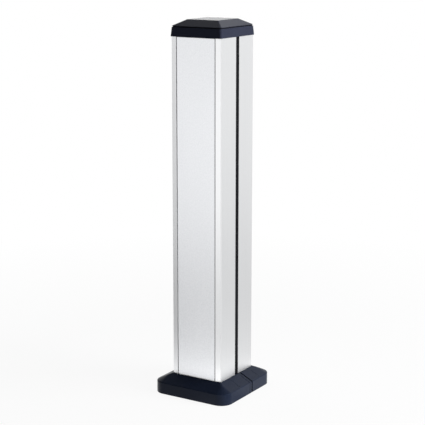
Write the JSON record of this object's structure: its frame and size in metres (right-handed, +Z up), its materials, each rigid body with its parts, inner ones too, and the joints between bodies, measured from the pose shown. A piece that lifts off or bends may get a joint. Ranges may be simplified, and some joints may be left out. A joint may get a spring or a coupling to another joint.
{
  "type": "double-sided service column for socket outlets",
  "caption": "Free-standing aluminium column with blank clip-on covers front and rear, black side strips, black cap and split black base cover over a floor plate.",
  "frame": {"origin": "floor level under the middle of the column", "axes": "+Z up along the column, -Y out of the front cover, +X towards the right-hand plain side"},
  "size_m": [0.162, 0.171, 0.7],
  "materials": {
    "column_aluminium": "natural matt anodised extrusion",
    "cover_aluminium": "natural matt anodised sheet with a fine grain",
    "strip_black": "extruded, satin",
    "cap_black": "moulded, fine satin texture",
    "base_black": "moulded, fine satin texture",
    "carrier_grey": "moulded",
    "plate_steel": "zinc plated",
    "screw_steel": "zinc plated",
    "pad_rubber": "matt",
    "bush_black": "moulded",
    "clamp_grey": "moulded",
    "tab_brass": "tinned"
  },
  "bodies": {
    "column": {"column_body": "column_aluminium", "left_side_strip": "strip_black", "right_side_strip": "strip_black", "cap_carrier": "carrier_grey", "cap_carrier_screws": "screw_steel", "base_joint_brackets": "plate_steel", "base_plate": "plate_steel", "floor_pad": "pad_rubber", "column_screws": "screw_steel", "cable_bush_front": "bush_black", "cable_bush_rear": "bush_black", "cable_clamp_front": "clamp_grey", "cable_clamp_rear": "clamp_grey", "clamp_screws": "screw_steel", "earth_bolt": "screw_steel", "earth_nut": "screw_steel", "earth_washers": "screw_steel", "earth_tabs": "tab_brass"},
    "front_cover": {"front_cover": "cover_aluminium"},
    "rear_cover": {"rear_cover": "cover_aluminium"},
    "cap": {"top_cap": "cap_black"},
    "base_front": {"base_cover_front": "base_black"},
    "base_rear": {"base_cover_rear": "base_black"}
  },
  "joints": [
    {"name": "cap_lift", "type": "slide", "parent": "column", "child": "cap", "axis": [0, 0, 1], "range_m": [0, 0.06]},
    {"name": "front_cover_pull", "type": "slide", "parent": "column", "child": "front_cover", "axis": [0, -1, 0], "range_m": [0, 0.05]},
    {"name": "rear_cover_pull", "type": "slide", "parent": "column", "child": "rear_cover", "axis": [0, 1, 0], "range_m": [0, 0.05]},
    {"name": "base_front_pull", "type": "slide", "parent": "column", "child": "base_front", "axis": [0, -1, 0], "range_m": [0, 0.07]},
    {"name": "base_rear_pull", "type": "slide", "parent": "column", "child": "base_rear", "axis": [0, 1, 0], "range_m": [0, 0.07]}
  ]
}
